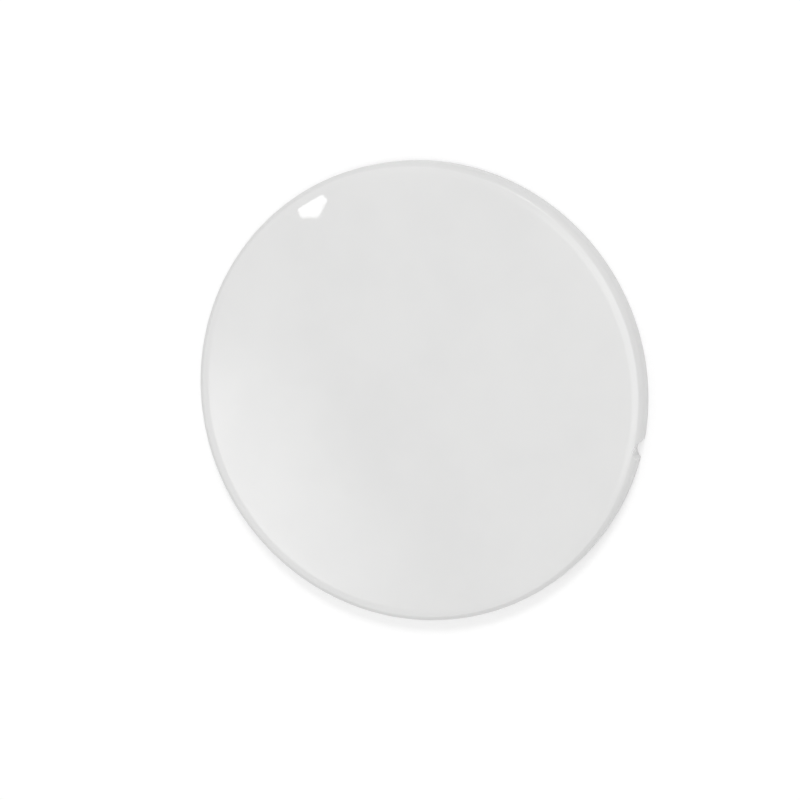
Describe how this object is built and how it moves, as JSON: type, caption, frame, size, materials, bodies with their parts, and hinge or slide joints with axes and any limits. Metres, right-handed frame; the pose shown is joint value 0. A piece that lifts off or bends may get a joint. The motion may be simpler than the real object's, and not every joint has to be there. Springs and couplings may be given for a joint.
{
  "type": "led flood lens",
  "caption": "Round moulded opal diffuser lens with a barely domed face, a narrow shoulder bent down to a crisp ridge, a rounded rim and a keying notch through the rim, for an LED spot lamp.",
  "frame": {"origin": "on the lens axis, in the plane of the seat that the lens lies on", "axes": "+Z along the lens axis, out of the domed face; the keying notch points between +X and -Y"},
  "size_m": [0.05, 0.05, 0.0031],
  "materials": {
    "opal_plastic": "opal white, glossy, slightly translucent"
  },
  "bodies": {
    "root": {"lens": "opal_plastic"}
  },
  "joints": []
}
